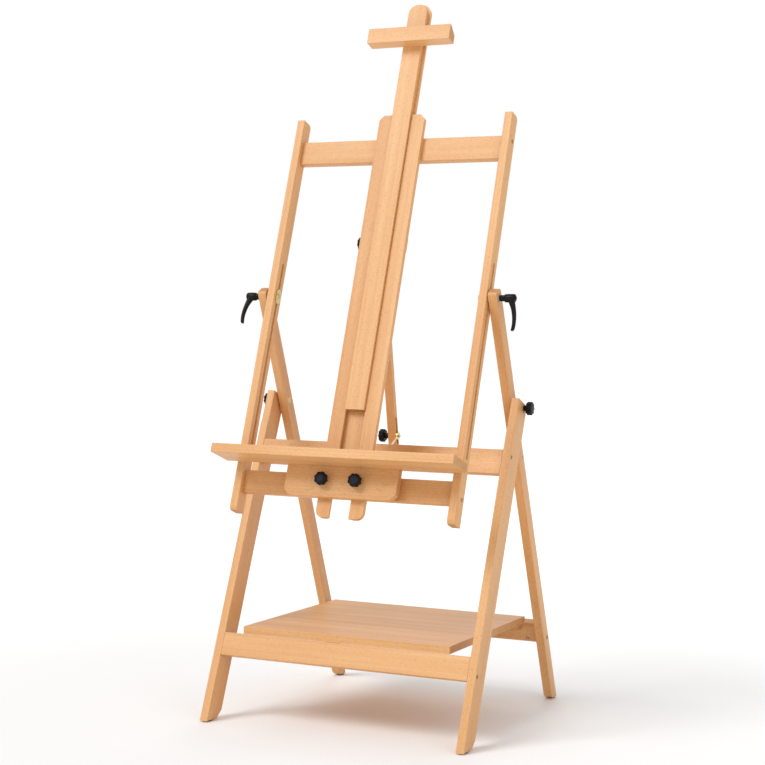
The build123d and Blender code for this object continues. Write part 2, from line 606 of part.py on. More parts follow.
def tray_carriage():
    """The tray, its apron and the tongue that runs behind the lips of the guide boards."""
    tray = board((-TRAY_HALF, TRAY_HALF), (TRAY_FRONT, APRON_FRONT), TRAY_SPAN)
    corner = 15.0
    bottom, top = APRON_BOTTOM, TRAY_SPAN[1]
    outline = [(-APRON_HALF + corner, bottom), (APRON_HALF - corner, bottom),
               (APRON_HALF, bottom + corner), (APRON_HALF, top), (-APRON_HALF, top),
               (-APRON_HALF, bottom + corner)]
    apron = face_board(outline, (APRON_FRONT, APRON_BACK),
                       [((-APRON_HALF, bottom + corner), 8.0), ((APRON_HALF, bottom + corner), 8.0),
                        ((APRON_HALF - corner, bottom), 8.0), ((-APRON_HALF + corner, bottom), 8.0)])
    tongue_span = (bottom + 5.0, top - 15.0)
    tongue = board((-MAST_HALF, MAST_HALF), (APRON_BACK, FLANGE_FRONT + 0.01), tongue_span, ease=0)
    half = LIP_OUTER - PLAY
    tongue += board((-half, half), (FLANGE_FRONT, FLANGE_BACK), tongue_span, ease=0)
    screws = []
    middle = (TRAY_SPAN[0] + TRAY_SPAN[1]) / 2
    for x in (-120.0, -80.0, 80.0, 120.0):
        shank = rod_y(2.2, x, (APRON_FRONT - 30.0, APRON_BACK - 3.0), middle)
        head = rod_y(4.2, x, (APRON_BACK - 3.0, APRON_BACK - 0.3), middle)
        tray -= shank
        apron -= shank + rod_y(4.2, x, (APRON_BACK - 3.0, APRON_BACK + 1), middle)
        screws.append(shank + head)
    for z in (tongue_span[0] + 12.0, tongue_span[1] - 12.0):
        shank = rod_y(2.2, 0, (APRON_FRONT + 4.0, FLANGE_BACK - 3.0), z)
        head = rod_y(4.2, 0, (FLANGE_BACK - 3.0, FLANGE_BACK - 0.3), z)
        apron -= shank
        tongue -= shank + rod_y(4.2, 0, (FLANGE_BACK - 3.0, FLANGE_BACK + 1), z)
        screws.append(shank + head)
    inserts = []
    for side, name in ((-1, "left"), (1, "right")):
        x = side * KNOB_SPREAD
        sleeve = rod_y(5.5, x, (APRON_FRONT, APRON_BACK), KNOB_HEIGHT)
        hole = rod_y(M8 + RUN, x, (APRON_FRONT, APRON_BACK), KNOB_HEIGHT)
        apron -= sleeve
        inserts.append(sleeve - hole)
        base = APRON_FRONT - 0.8
        knob = Pos(x, base, KNOB_HEIGHT) * Rot(90, 0, 0) * star_head(STAR_NECK, M8)
        stud = rod_y(M8, x, (base - STAR_NECK - STUD_GRIP, GUIDE_FRONT - PLAY), KNOB_HEIGHT)
        keep("tray_knob_" + name, PANEL, knob)
        keep("tray_stud_" + name, PANEL, stud)
    keep("tray", PANEL, tray)
    keep("apron", PANEL, apron)
    keep("carriage_tongue", PANEL, tongue)
    keep("carriage_screws", PANEL, *screws)
    keep("apron_inserts", PANEL, *inserts)


# Prop strut, drawn straight up from its foot pivot
def prop_strut():
    half, depth = STRUT_WIDTH / 2, STRUT_DEPTH / 2
    top = STRUT_LENGTH + STRUT_ABOVE
    outline = [(-depth, -STRUT_BELOW), (depth, -STRUT_BELOW), (depth, top), (-depth, top)]
    corners = [((-depth, top), 7.8), ((depth, top), 7.8),
               ((-depth, -STRUT_BELOW), 4.0), ((depth, -STRUT_BELOW), 4.0)]
    strut = side_board(outline, (-half, half), corners, ease=1.0)
    slot_half = 4.4
    strut -= board((-half - 1, half + 1), (-slot_half, slot_half), STRUT_SLOT, ease=0)
    pin_radius, washer = 3.0, 1.6
    pin_end = half + 8.0 + PLAY + washer
    pin = rod_x(pin_radius, (-pin_end, pin_end), 0, STRUT_LENGTH)
    strut -= rod_x(pin_radius, (-half - 1, half + 1), 0, STRUT_LENGTH)
    caps = [rod_x(15.0, span(s, pin_end - washer, pin_end + 0.8), 0, STRUT_LENGTH) for s in (-1, 1)]
    keep("prop_strut", STRUT, strut)
    keep("strut_head_pin", STRUT, pin + caps[0] + caps[1])
    bush = board((-half, half), (-slot_half + PLAY, slot_half - PLAY), (-7.0, 7.0), ease=0)
    keep("strut_foot_bush", STRUT, bush - rod_x(M6 + RUN, (-half - 1, half + 1), 0, 0))
    base, neck = half + 1.5, 10.0
    knob = Pos(-base, 0, 0) * Rot(0, -90, 0) * star_head(neck, M6)
    stud = rod_x(M6, (-base - neck - STUD_GRIP, half + 8.0), 0, 0)
    keep("strut_knob", STRUT, knob)
    keep("strut_knob_stud", STRUT, stud)


def strut_slider():
    """The block that runs on the track behind the channel and holds the strut's head."""
    y, z = STRUT_HEAD
    low, high = z - 15.0, z + 22.0
    floor = SHEET_BACK + 11.0
    ear, inner = 7.5, STRUT_WIDTH / 2 + 0.5
    cheek = inner + ear
    block = board((-cheek, cheek), (SHEET_BACK + PLAY, floor + 4.5), (low, high), ease=0)
    ends = (low - 1, high + 1)
    block -= board((-6.0 - PLAY, 6.0 + PLAY), (0, SHEET_BACK + 7.0), ends, ease=0)
    block -= board((-13.0 - PLAY, 13.0 + PLAY), (SHEET_BACK + 6.0 - PLAY, floor + PLAY), ends, ease=0)
    for side in (-1, 1):
        block += board(span(side, inner, cheek), (floor + 4.0, y + 17.0), (low, high), ease=0)
    half, centre = 8.0, y + 1.5
    slot_low, slot_high = z + 0.8, z + 7.8
    across = (-cheek - 1, cheek + 1)
    block -= board(across, (centre - half, centre + half), (slot_low, slot_high), ease=0)
    block -= rod_x(half, across, centre, slot_low) + rod_x(half, across, centre, slot_high)
    keep("strut_slider", PANEL, block)


front_frame()
strut_bracket()
rear_frame()
shelf_and_ledger()
pivot_knobs()
clamp_levers()
tilt_pivot()
panel_frame()
mast_channel()
mast_lock()
mast_and_holder()
tray_carriage()
prop_strut()
strut_slider()

os.makedirs("parts", exist_ok=True)
for node_name, shape in NODES.items():
    export_step(shape, "parts/" + node_name + ".step")
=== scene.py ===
import json
import math

import bpy
from mathutils import Matrix, Vector


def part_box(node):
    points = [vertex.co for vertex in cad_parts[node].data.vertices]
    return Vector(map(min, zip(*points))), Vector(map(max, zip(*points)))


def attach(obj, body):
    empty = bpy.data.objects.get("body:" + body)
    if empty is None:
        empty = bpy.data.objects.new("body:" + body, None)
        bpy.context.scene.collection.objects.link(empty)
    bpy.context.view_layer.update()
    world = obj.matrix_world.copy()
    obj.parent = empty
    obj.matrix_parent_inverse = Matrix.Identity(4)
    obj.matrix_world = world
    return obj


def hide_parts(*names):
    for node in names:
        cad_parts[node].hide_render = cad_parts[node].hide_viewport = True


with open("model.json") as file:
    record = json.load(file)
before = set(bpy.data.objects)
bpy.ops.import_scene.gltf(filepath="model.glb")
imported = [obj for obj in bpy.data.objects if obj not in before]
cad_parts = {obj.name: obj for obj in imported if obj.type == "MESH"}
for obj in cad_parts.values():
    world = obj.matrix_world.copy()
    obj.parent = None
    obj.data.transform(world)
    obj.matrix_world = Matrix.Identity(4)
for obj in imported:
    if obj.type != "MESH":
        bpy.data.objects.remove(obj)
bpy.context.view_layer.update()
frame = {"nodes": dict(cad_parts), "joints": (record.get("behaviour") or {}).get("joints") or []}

# The leans of the easel's frames, in degrees from upright, backwards positive
FRONT_LEAN = 21.6
REAR_LEAN = -23.9
PANEL_LEAN = 18.3
STRUT_LEAN = -11.8
LEFT_LEVER_SWING = 29.0

# Star knobs, in metres
KNOB_RADIUS = 0.016
KNOB_HEAD = 0.0115
KNOB_LOBES = 8
KNOB_NECK_RADIUS = 0.007
KNOB_CAP_RADIUS = 0.0098
SHORT_STEM = 0.009
LONG_STEM = 0.010
VERTICES_PER_LOBE = 8
# How far in the rim's vertices lie, by their distance from the middle of a valley
VALLEY_DEPTHS = {0: 0.868, 1: 0.905, 2: 0.965}
FACE_RIM, FACE_RISE = 0.0016, 0.0007
FACE_SEAT, FACE_SINK = 0.0030, -0.0003
BACK_RIM, BACK_RISE = 0.0022, 0.0008
KNOB_ROUNDING = (0.0011, 3)
CAP_ROUNDING = (0.0003, 2)
HUB_ROUNDING = (0.0004, 2)

# The ratchet lever: (height, radius) of the hub and its button, in metres from the lever's base
HUB_STATIONS = [(0.0, 0.0066), (0.0006, 0.0074), (0.0045, 0.0077), (0.0052, 0.0070), (0.0066, 0.0070),
                (0.0073, 0.0077), (0.0112, 0.0077), (0.0120, 0.0092), (0.0135, 0.0100), (0.0240, 0.0103),
                (0.0350, 0.0100), (0.0366, 0.0090), (0.0369, 0.0066)]
BUTTON_STATIONS = [(0.0355, 0.0058), (0.0378, 0.0057), (0.0388, 0.0048), (0.0391, 0.0027)]

# The lever's arm: (drop, distance out, half width, half depth) from the hub to its tip
ARM_STATIONS = [(0.0000, 0.0272, 0.0088, 0.0095), (-0.0060, 0.0274, 0.0087, 0.0088),
                (-0.0125, 0.0290, 0.0077, 0.0075), (-0.0220, 0.0321, 0.0063, 0.0066),
                (-0.0340, 0.0342, 0.0055, 0.0062), (-0.0470, 0.0350, 0.0050, 0.0060),
                (-0.0590, 0.0344, 0.0046, 0.0060), (-0.0680, 0.0328, 0.0045, 0.0059),
                (-0.0740, 0.0310, 0.0045, 0.0055), (-0.0765, 0.0303, 0.0034, 0.0043)]


def joint(name):
    """The frame's own record of a joint."""
    return next(j for j in frame["joints"] if j["name"] == name)


# ---------------------------------------------------------------- node groups
def mix_colour(tree, factor, first, second):
    node = tree.nodes.new("ShaderNodeMix")
    node.data_type = "RGBA"
    for socket, value in ((node.inputs[0], factor), (node.inputs[6], first), (node.inputs[7], second)):
        feed(tree, socket, value)
    return node.outputs[2]


def feed(tree, socket, value):
    """Links a socket to another one, or sets it to a number or colour."""
    if isinstance(value, bpy.types.NodeSocket):
        tree.links.new(value, socket)
    else:
        socket.default_value = value


def calculate(tree, operation, first, second=0.0):
    node = tree.nodes.new("ShaderNodeMath")
    node.operation = operation
    feed(tree, node.inputs[0], first)
    feed(tree, node.inputs[1], second)
    return node.outputs[0]


def remap(tree, value, low, high, to_low=0.0, to_high=1.0):
    node = tree.nodes.new("ShaderNodeMapRange")
    feed(tree, node.inputs["Value"], value)
    ends = {"From Min": low, "From Max": high, "To Min": to_low, "To Max": to_high}
    for name, number in ends.items():
        node.inputs[name].default_value = number
    return node.outputs["Result"]


def stretch(tree, vector, scale):
    node = tree.nodes.new("ShaderNodeMapping")
    tree.links.new(vector, node.inputs["Vector"])
    node.inputs["Scale"].default_value = scale
    return node.outputs["Vector"]


def noise(tree, vector, scale, detail=2.0, roughness=0.5):
    node = tree.nodes.new("ShaderNodeTexNoise")
    tree.links.new(vector, node.inputs["Vector"])
    node.inputs["Scale"].default_value = scale
    node.inputs["Detail"].default_value = detail
    node.inputs["Roughness"].default_value = roughness
    return node.outputs["Fac"]


def new_group(name, inputs, outputs):
    group = bpy.data.node_groups.new(name, "ShaderNodeTree")
    for socket, kind in inputs:
        group.interface.new_socket(socket, in_out="INPUT", socket_type=kind)
    for socket, kind in outputs:
        group.interface.new_socket(socket, in_out="OUTPUT", socket_type=kind)
    return group, group.nodes.new("NodeGroupInput"), group.nodes.new("NodeGroupOutput")


# How closely each pattern repeats across and along the grain, per metre
STREAK_STRETCH = (34.0, 34.0, 1.6)
CLOUD_STRETCH = (9.0, 9.0, 1.2)
RING_STRETCH = (1.0, 1.0, 0.05)
FIBRE_STRETCH = (1500.0, 1500.0, 26.0)
FLECK_STRETCH = (820.0, 820.0, 150.0)
RING_PATTERN = {"Scale": 62.0, "Distortion": 2.4, "Detail": 2.0, "Detail Scale": 0.35,
                "Detail Roughness": 0.5}
FLECK_SHOWS = 0.42
END_GRAIN_SHOWS = 0.40
FINISH_OUTPUTS = [("Colour", "NodeSocketColor"), ("Roughness", "NodeSocketFloat"),
                  ("Height", "NodeSocketFloat")]


def beech_group():
    """Beech: soft growth rings round the heart, broad streaks and short dark ray flecks along Z.

    Every pattern adds to a warmth between the pale and the warm colour; the flecks, the fibre and
    the end grain then darken it.
    """
    group, given, result = new_group(
        "beech_figure",
        [("Along", "NodeSocketVector"), ("Facing", "NodeSocketVector"), ("Pale", "NodeSocketColor"),
         ("Warm", "NodeSocketColor"), ("Fleck", "NodeSocketColor"), ("Board Tone", "NodeSocketFloat")],
        FINISH_OUTPUTS)
    along = given.outputs["Along"]
    streak = noise(group, stretch(group, along, STREAK_STRETCH), 1.0, 3.0, 0.55)
    cloud = noise(group, stretch(group, along, CLOUD_STRETCH), 1.0, 2.0)
    ring = group.nodes.new("ShaderNodeTexWave")
    ring.wave_type = "RINGS"
    ring.rings_direction = "Z"
    ring.wave_profile = "SAW"
    group.links.new(stretch(group, along, RING_STRETCH), ring.inputs["Vector"])
    for name, number in RING_PATTERN.items():
        ring.inputs[name].default_value = number
    fibre = noise(group, stretch(group, along, FIBRE_STRETCH), 1.0, 2.0, 0.6)
    dash = noise(group, stretch(group, along, FLECK_STRETCH), 1.0, 0.0)
    fleck = remap(group, dash, 0.66, 0.74)
    facing = group.nodes.new("ShaderNodeSeparateXYZ")
    group.links.new(given.outputs["Facing"], facing.inputs[0])
    end_grain = remap(group, calculate(group, "ABSOLUTE", facing.outputs["Z"]), 0.75, 0.92)

    warmth = calculate(group, "ADD", remap(group, streak, 0.35, 0.68, 0.0, 0.55),
                       remap(group, ring.outputs["Fac"], 0.0, 1.0, 0.0, 0.30))
    warmth = calculate(group, "ADD", warmth, remap(group, cloud, 0.35, 0.65, -0.12, 0.22))
    warmth = calculate(group, "ADD", warmth, given.outputs["Board Tone"])
    warmth = remap(group, warmth, 0.0, 1.0)
    colour = mix_colour(group, warmth, given.outputs["Pale"], given.outputs["Warm"])
    dark = given.outputs["Fleck"]
    colour = mix_colour(group, calculate(group, "MULTIPLY", fleck, FLECK_SHOWS), colour, dark)
    colour = mix_colour(group, remap(group, fibre, 0.30, 0.70, 0.0, 0.12), colour, dark)
    colour = mix_colour(group, calculate(group, "MULTIPLY", end_grain, END_GRAIN_SHOWS), colour, dark)
    group.links.new(colour, result.inputs["Colour"])
    rough = calculate(group, "ADD", remap(group, fibre, 0.3, 0.7, 0.40, 0.50),
                      calculate(group, "MULTIPLY", end_grain, 0.18))
    group.links.new(rough, result.inputs["Roughness"])
    height = calculate(group, "SUBTRACT", remap(group, fibre, 0.2, 0.8, 0.0, 0.6),
                       calculate(group, "MULTIPLY", fleck, 0.5))
    group.links.new(height, result.inputs["Height"])
    return group


def moulded_group():
    """The fine grain and faint handling marks of a moulded, enamelled or plated surface."""
    group, given, result = new_group(
        "fine_surface",
        [("Place", "NodeSocketVector"), ("Base", "NodeSocketColor"), ("Lift", "NodeSocketColor"),
         ("Grain Size", "NodeSocketFloat"), ("Low", "NodeSocketFloat"), ("High", "NodeSocketFloat")],
        FINISH_OUTPUTS)
    place = given.outputs["Place"]
    grain = group.nodes.new("ShaderNodeTexNoise")
    group.links.new(place, grain.inputs["Vector"])
    group.links.new(given.outputs["Grain Size"], grain.inputs["Scale"])
    grain.inputs["Detail"].default_value = 3.0
    smudge = noise(group, place, 55.0, 3.0, 0.6)
    worn = remap(group, smudge, 0.35, 0.70)
    group.links.new(mix_colour(group, worn, given.outputs["Base"], given.outputs["Lift"]),
                    result.inputs["Colour"])
    spread = group.nodes.new("ShaderNodeMix")
    group.links.new(worn, spread.inputs[0])
    group.links.new(given.outputs["High"], spread.inputs[2])
    group.links.new(given.outputs["Low"], spread.inputs[3])
    group.links.new(spread.outputs[0], result.inputs["Roughness"])
    group.links.new(grain.outputs["Fac"], result.inputs["Height"])
    return group


BEECH = beech_group()
SURFACE = moulded_group()


def place_group(tree, group, values):
    """Puts an effect into a material with that material's own values."""
    node = tree.nodes.new("ShaderNodeGroup")
    node.node_tree = group
    for name, value in values.items():
        feed(tree, node.inputs[name], value)
    return node


def new_material(name):
    material = bpy.data.materials.new(name)
    material.use_nodes = True
    return material, material.node_tree, material.node_tree.nodes["Principled BSDF"]


def bump(tree, height, shader, strength, distance):
    node = tree.nodes.new("ShaderNodeBump")
    tree.links.new(height, node.inputs["Height"])
    node.inputs["Strength"].default_value = strength
    node.inputs["Distance"].default_value = distance
    tree.links.new(node.outputs["Normal"], shader.inputs["Normal"])


# ---------------------------------------------------------------- materials
PALE_BEECH = (0.790, 0.445, 0.185, 1.0)
WARM_BEECH = (0.650, 0.305, 0.100, 1.0)
FLECK_BEECH = (0.340, 0.135, 0.040, 1.0)
FIBRE_RELIEF = 0.25
FIBRE_HEIGHT = 0.0002
OIL_COAT = 0.12
OIL_COAT_ROUGHNESS = 0.35
MOULD_GRAIN_HEIGHT = 0.0001


def beech(name, lean, across, order, tone=0.0):
    """A board's own beech, its grain running up a frame of that lean or across it.

    The order of the board in its list moves the heart of the tree, so that no two boards match.
    """
    material, tree, shader = new_material("beech_" + name)
    place = tree.nodes.new("ShaderNodeTexCoord")
    turn = (math.radians(lean), math.radians(-90.0) if across else 0.0, 0.0)
    heart = (0.075 + 0.013 * (order % 4), 0.055 - 0.021 * (order % 3), 0.83 * order)
    grain = tree.nodes.new("ShaderNodeMapping")
    grain.inputs["Rotation"].default_value = turn
    grain.inputs["Location"].default_value = heart
    tree.links.new(place.outputs["Object"], grain.inputs["Vector"])
    facing = tree.nodes.new("ShaderNodeMapping")
    facing.vector_type = "NORMAL"
    facing.inputs["Rotation"].default_value = turn
    tree.links.new(place.outputs["Normal"], facing.inputs["Vector"])
    figure = place_group(tree, BEECH, {
        "Along": grain.outputs["Vector"], "Facing": facing.outputs["Vector"], "Pale": PALE_BEECH,
        "Warm": WARM_BEECH, "Fleck": FLECK_BEECH, "Board Tone": tone})
    tree.links.new(figure.outputs["Colour"], shader.inputs["Base Color"])
    tree.links.new(figure.outputs["Roughness"], shader.inputs["Roughness"])
    bump(tree, figure.outputs["Height"], shader, FIBRE_RELIEF, FIBRE_HEIGHT)
    shader.inputs["Coat Weight"].default_value = OIL_COAT
    shader.inputs["Coat Roughness"].default_value = OIL_COAT_ROUGHNESS
    return material


def fine_finish(name, base, lift, grain, rough, metallic=0.0, relief=0.1, shine=0.5):
    """A moulded, enamelled or plated finish, with its two colours and its range of roughness."""
    material, tree, shader = new_material(name)
    place = tree.nodes.new("ShaderNodeTexCoord")
    surface = place_group(tree, SURFACE, {
        "Place": place.outputs["Object"], "Base": base, "Lift": lift, "Grain Size": grain,
        "Low": rough[0], "High": rough[1]})
    tree.links.new(surface.outputs["Colour"], shader.inputs["Base Color"])
    tree.links.new(surface.outputs["Roughness"], shader.inputs["Roughness"])
    shader.inputs["Metallic"].default_value = metallic
    shader.inputs["Specular IOR Level"].default_value = shine
    bump(tree, surface.outputs["Height"], shader, relief, MOULD_GRAIN_HEIGHT)
    return material


def dress(node, material):
    """Gives a CAD piece a finished material."""
    mesh = frame["nodes"][node].data
    mesh.materials.clear()
    mesh.materials.append(material)


# Every wooden node: the lean of its grain, whether the grain runs across, and how dark the board is
BOARDS = {
    "front_leg_left": (FRONT_LEAN, False, 0.05), "front_leg_right": (FRONT_LEAN, False, 0.0),
    "middle_crossbar": (FRONT_LEAN, True, 0.0), "lower_front_rail": (FRONT_LEAN, True, -0.05),
    "rear_leg_left": (REAR_LEAN, False, 0.08), "rear_leg_right": (REAR_LEAN, False, 0.05),
    "lower_rear_rail": (REAR_LEAN, True, 0.05), "shelf_ledger": (0.0, True, 0.1),
    "shelf": (0.0, True, 0.10), "panel_stile_left": (PANEL_LEAN, False, 0.0),
    "panel_stile_right": (PANEL_LEAN, False, 0.06), "panel_top_rail": (PANEL_LEAN, True, 0.0),
    "panel_lower_rail": (PANEL_LEAN, True, 0.12), "guide_board_left": (PANEL_LEAN, False, 0.10),
    "guide_board_right": (PANEL_LEAN, False, 0.02), "channel_back": (PANEL_LEAN, False, 0.1),
    "strut_track": (PANEL_LEAN, False, 0.0), "mast_lock_blocks": (PANEL_LEAN, True, 0.0),
    "mast": (PANEL_LEAN, False, -0.08), "top_canvas_holder": (PANEL_LEAN, True, 0.0),
    "tray": (PANEL_LEAN, True, -0.1), "apron": (PANEL_LEAN, True, 0.05),
    "carriage_tongue": (PANEL_LEAN, False, 0.15), "prop_strut": (STRUT_LEAN, False, 0.0),
    "strut_slider": (PANEL_LEAN, False, 0.0), "front_dowels": (FRONT_LEAN, True, 0.0),
    "rear_dowels": (REAR_LEAN, True, 0.0), "panel_dowels": (PANEL_LEAN, True, 0.0),
}
for order, (node, (lean, across, tone)) in enumerate(BOARDS.items()):
    dress(node, beech(node, lean, across, order, tone))

zinc = fine_finish("zinc_plated_steel", (0.52, 0.51, 0.49, 1), (0.66, 0.65, 0.62, 1), 900.0,
                   (0.26, 0.40), metallic=1.0, relief=0.05)
yellow_zinc = fine_finish("yellow_zinc", (0.74, 0.58, 0.25, 1), (0.90, 0.77, 0.42, 1), 700.0,
                          (0.24, 0.38), metallic=1.0, relief=0.05)
black_plastic = fine_finish("black_moulded_plastic", (0.004, 0.003, 0.0025, 1),
                            (0.009, 0.006, 0.005, 1), 2600.0, (0.36, 0.50), relief=0.2, shine=0.16)
black_enamel = fine_finish("black_enamelled_zinc", (0.005, 0.0035, 0.003, 1), (0.012, 0.008, 0.007, 1),
                           1500.0, (0.32, 0.46), relief=0.25, shine=0.18)
slate_cap = fine_finish("slate_cap_plastic", (0.008, 0.012, 0.022, 1), (0.018, 0.025, 0.042, 1),
                        2600.0, (0.36, 0.50), relief=0.2, shine=0.2)
brown_glide = fine_finish("brown_glide_plastic", (0.085, 0.022, 0.012, 1), (0.13, 0.035, 0.02, 1),
                          1200.0, (0.42, 0.58), relief=0.2)

FINISHES = {
    zinc: ["front_joint_bolts", "rear_joint_bolts", "panel_joint_bolts", "leg_spacer_washers",
           "clamp_side_washers", "pivot_stud_left", "pivot_stud_right", "clamp_studs",
           "mast_lock_shaft", "top_holder_screws", "carriage_screws", "tray_stud_left",
           "tray_stud_right", "strut_bracket_screws", "strut_head_pin", "strut_knob_stud"],
    yellow_zinc: ["strut_bracket", "clamp_inner_washers", "clamp_nuts", "pivot_inserts",
                  "apron_inserts"],
    black_plastic: ["strut_foot_bush"],
    brown_glide: ["front_foot_glides", "rear_foot_glides"],
}
for finish, nodes in FINISHES.items():
    for node in nodes:
        dress(node, finish)


# ---------------------------------------------------------------- modelling by operators
SMOOTH_ANGLE = 40.0


def start(name, primitive, **placing):
    """Adds a named primitive with nothing else selected."""
    bpy.ops.object.select_all(action="DESELECT")
    primitive(**placing)
    piece = bpy.context.object
    piece.name = name
    piece.data.name = name
    return piece


def pick(piece, test, mode="FACE"):
    """Selects the faces or vertices whose centre and normal pass a test, and stays in edit mode."""
    bpy.context.view_layer.objects.active = piece
    bpy.ops.object.mode_set(mode="EDIT")
    bpy.ops.mesh.select_mode(type=mode)
    bpy.ops.mesh.select_all(action="DESELECT")
    bpy.ops.object.mode_set(mode="OBJECT")
    if mode == "FACE":
        for face in piece.data.polygons:
            face.select = test(face.center, face.normal)
    else:
        for vertex in piece.data.vertices:
            vertex.select = test(vertex.co, vertex.normal)
    bpy.ops.object.mode_set(mode="EDIT")


def leave():
    """Ends edit mode."""
    bpy.ops.object.mode_set(mode="OBJECT")


def turn_outwards():
    """Points all faces of the piece in edit mode outwards, and ends edit mode."""
    bpy.ops.mesh.select_all(action="SELECT")
    bpy.ops.mesh.normals_make_consistent(inside=False)
    leave()


def choose(piece):
    """Makes a piece the only selected and the active one."""
    bpy.ops.object.select_all(action="DESELECT")
    piece.select_set(True)
    bpy.context.view_layer.objects.active = piece


def apply_place():
    bpy.ops.object.transform_apply(location=True, rotation=True, scale=True)


def grow(centre, move, scale):
    """Extrudes the selected end, moves it on and scales it about its new centre."""
    bpy.ops.mesh.extrude_region_move(TRANSFORM_OT_translate={"value": move})
    bpy.ops.transform.resize(value=scale, center_override=centre)


def turned(name, stations, sides=48):
    """A turned piece along Z from (height, radius) stations."""
    height, radius = stations[0]
    piece = start(name, bpy.ops.mesh.primitive_circle_add, vertices=sides, radius=radius,
                  fill_type="NGON", location=(0.0, 0.0, height))
    apply_place()
    pick(piece, lambda centre, normal: True)
    for next_height, next_radius in stations[1:]:
        ratio = next_radius / radius
        grow((0.0, 0.0, next_height), (0.0, 0.0, next_height - height), (ratio, ratio, 1.0))
        height, radius = next_height, next_radius
    turn_outwards()
    return piece


def finish_piece(piece, bevel=None, smooth_levels=0, angle=35.0):
    """Applies a bevel of (width, segments) and a subdivision, and smooths the shading."""
    choose(piece)
    if bevel:
        rounding = piece.modifiers.new("rounding", "BEVEL")
        rounding.width, rounding.segments = bevel
        rounding.limit_method = "ANGLE"
        rounding.angle_limit = math.radians(angle)
        bpy.ops.object.modifier_apply(modifier=rounding.name)
    if smooth_levels:
        subdivision = piece.modifiers.new("subdivision", "SUBSURF")
        subdivision.levels = smooth_levels
        subdivision.render_levels = smooth_levels
        bpy.ops.object.modifier_apply(modifier=subdivision.name)
    bpy.ops.object.shade_smooth_by_angle(angle=math.radians(SMOOTH_ANGLE))
    return piece


def copy_piece(piece, name):
    """A copy of a piece with its own mesh."""
    twin = piece.copy()
    twin.data = piece.data.copy()
    twin.name = name
    twin.data.name = name
    bpy.context.collection.objects.link(twin)
    return twin


def settle(piece, name, place, material, body, stands_for=()):
    """Copies a piece modelled at the origin to its place on the easel."""
    twin = copy_piece(piece, name)
    choose(twin)
    twin.matrix_world = place
    apply_place()
    if place.determinant() < 0:
        bpy.ops.object.mode_set(mode="EDIT")
        turn_outwards()
    twin.data.materials.clear()
    twin.data.materials.append(material)
    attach(twin, body)
    if stands_for:
        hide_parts(*stands_for)
    return twin


# ---------------------------------------------------------------- star knobs
def star_knob(stem):
    """A scalloped knob head on a round neck, with its base at the origin and its face along +Z."""
    rim_vertices = KNOB_LOBES * VERTICES_PER_LOBE
    head = start("star_head", bpy.ops.mesh.primitive_cylinder_add, vertices=rim_vertices,
                 radius=KNOB_RADIUS, depth=KNOB_HEAD, location=(0.0, 0.0, stem + KNOB_HEAD / 2))
    apply_place()
    step = 2 * math.pi / rim_vertices
    for offset, factor in VALLEY_DEPTHS.items():
        def in_valley(co, _, offset=offset):
            index = round(math.atan2(co.y, co.x) / step) % VERTICES_PER_LOBE
            return min(index, VERTICES_PER_LOBE - index) == offset
        pick(head, in_valley, "VERT")
        bpy.ops.transform.resize(value=(factor, factor, 1.0), center_override=(0.0, 0.0, 0.0))
        leave()
    pick(head, lambda centre, normal: normal.z > 0.9)
    bpy.ops.mesh.inset(thickness=FACE_RIM)
    bpy.ops.transform.translate(value=(0.0, 0.0, FACE_RISE))
    bpy.ops.mesh.inset(thickness=FACE_SEAT)
    bpy.ops.transform.translate(value=(0.0, 0.0, FACE_SINK))
    leave()
    pick(head, lambda centre, normal: normal.z < -0.9)
    bpy.ops.mesh.inset(thickness=BACK_RIM)
    bpy.ops.transform.translate(value=(0.0, 0.0, -BACK_RISE))
    leave()
    finish_piece(head, KNOB_ROUNDING, angle=50.0)
    neck = turned("knob_neck", [(0.0, 0.0062), (0.0006, KNOB_NECK_RADIUS),
                                (stem - 0.001, KNOB_NECK_RADIUS), (stem + 0.004, 0.0082)], 40)
    finish_piece(neck)
    choose(head)
    neck.select_set(True)
    bpy.ops.object.join()
    return head


def knob_cap(stem):
    """The pressed-in cap that closes the knob's middle."""
    top = stem + KNOB_HEAD
    radius = KNOB_CAP_RADIUS
    cap = turned("knob_cap", [(top - 0.0012, radius), (top + 0.0005, radius),
                              (top + 0.0010, radius * 0.93), (top + 0.0012, radius * 0.6)])
    return finish_piece(cap, CAP_ROUNDING)


def facing(direction, spin=0.0):
    """The turn that points +Z along a direction."""
    turn = Vector((0.0, 0.0, 1.0)).rotation_difference(Vector(direction)).to_matrix().to_4x4()
    return turn @ Matrix.Rotation(math.radians(spin), 4, "Z")


def middle_of(node):
    """The middle of a node's box."""
    low, high = (Vector(corner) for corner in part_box(node))
    return (low + high) / 2


def base_of(node, direction):
    """The middle of a node's box, moved to the face that a direction leaves from."""
    middle = middle_of(node)
    heading = Vector(direction).normalized()
    reach = max((Vector(co.co) - middle).dot(-heading) for co in frame["nodes"][node].data.vertices)
    return middle - heading * reach


def knob_axis(node, stud, direction):
    """A point on the stud's axis, level with the base of the knob."""
    middle = middle_of(stud)
    heading = Vector(direction).normalized()
    return middle + heading * (base_of(node, heading) - middle).dot(heading)


panel_back = Vector(joint("tray_knob_turn_left")["axis"])
panel_front = (-panel_back.x, -panel_back.y, -panel_back.z)
to_left, to_right = (-1, 0, 0), (1, 0, 0)

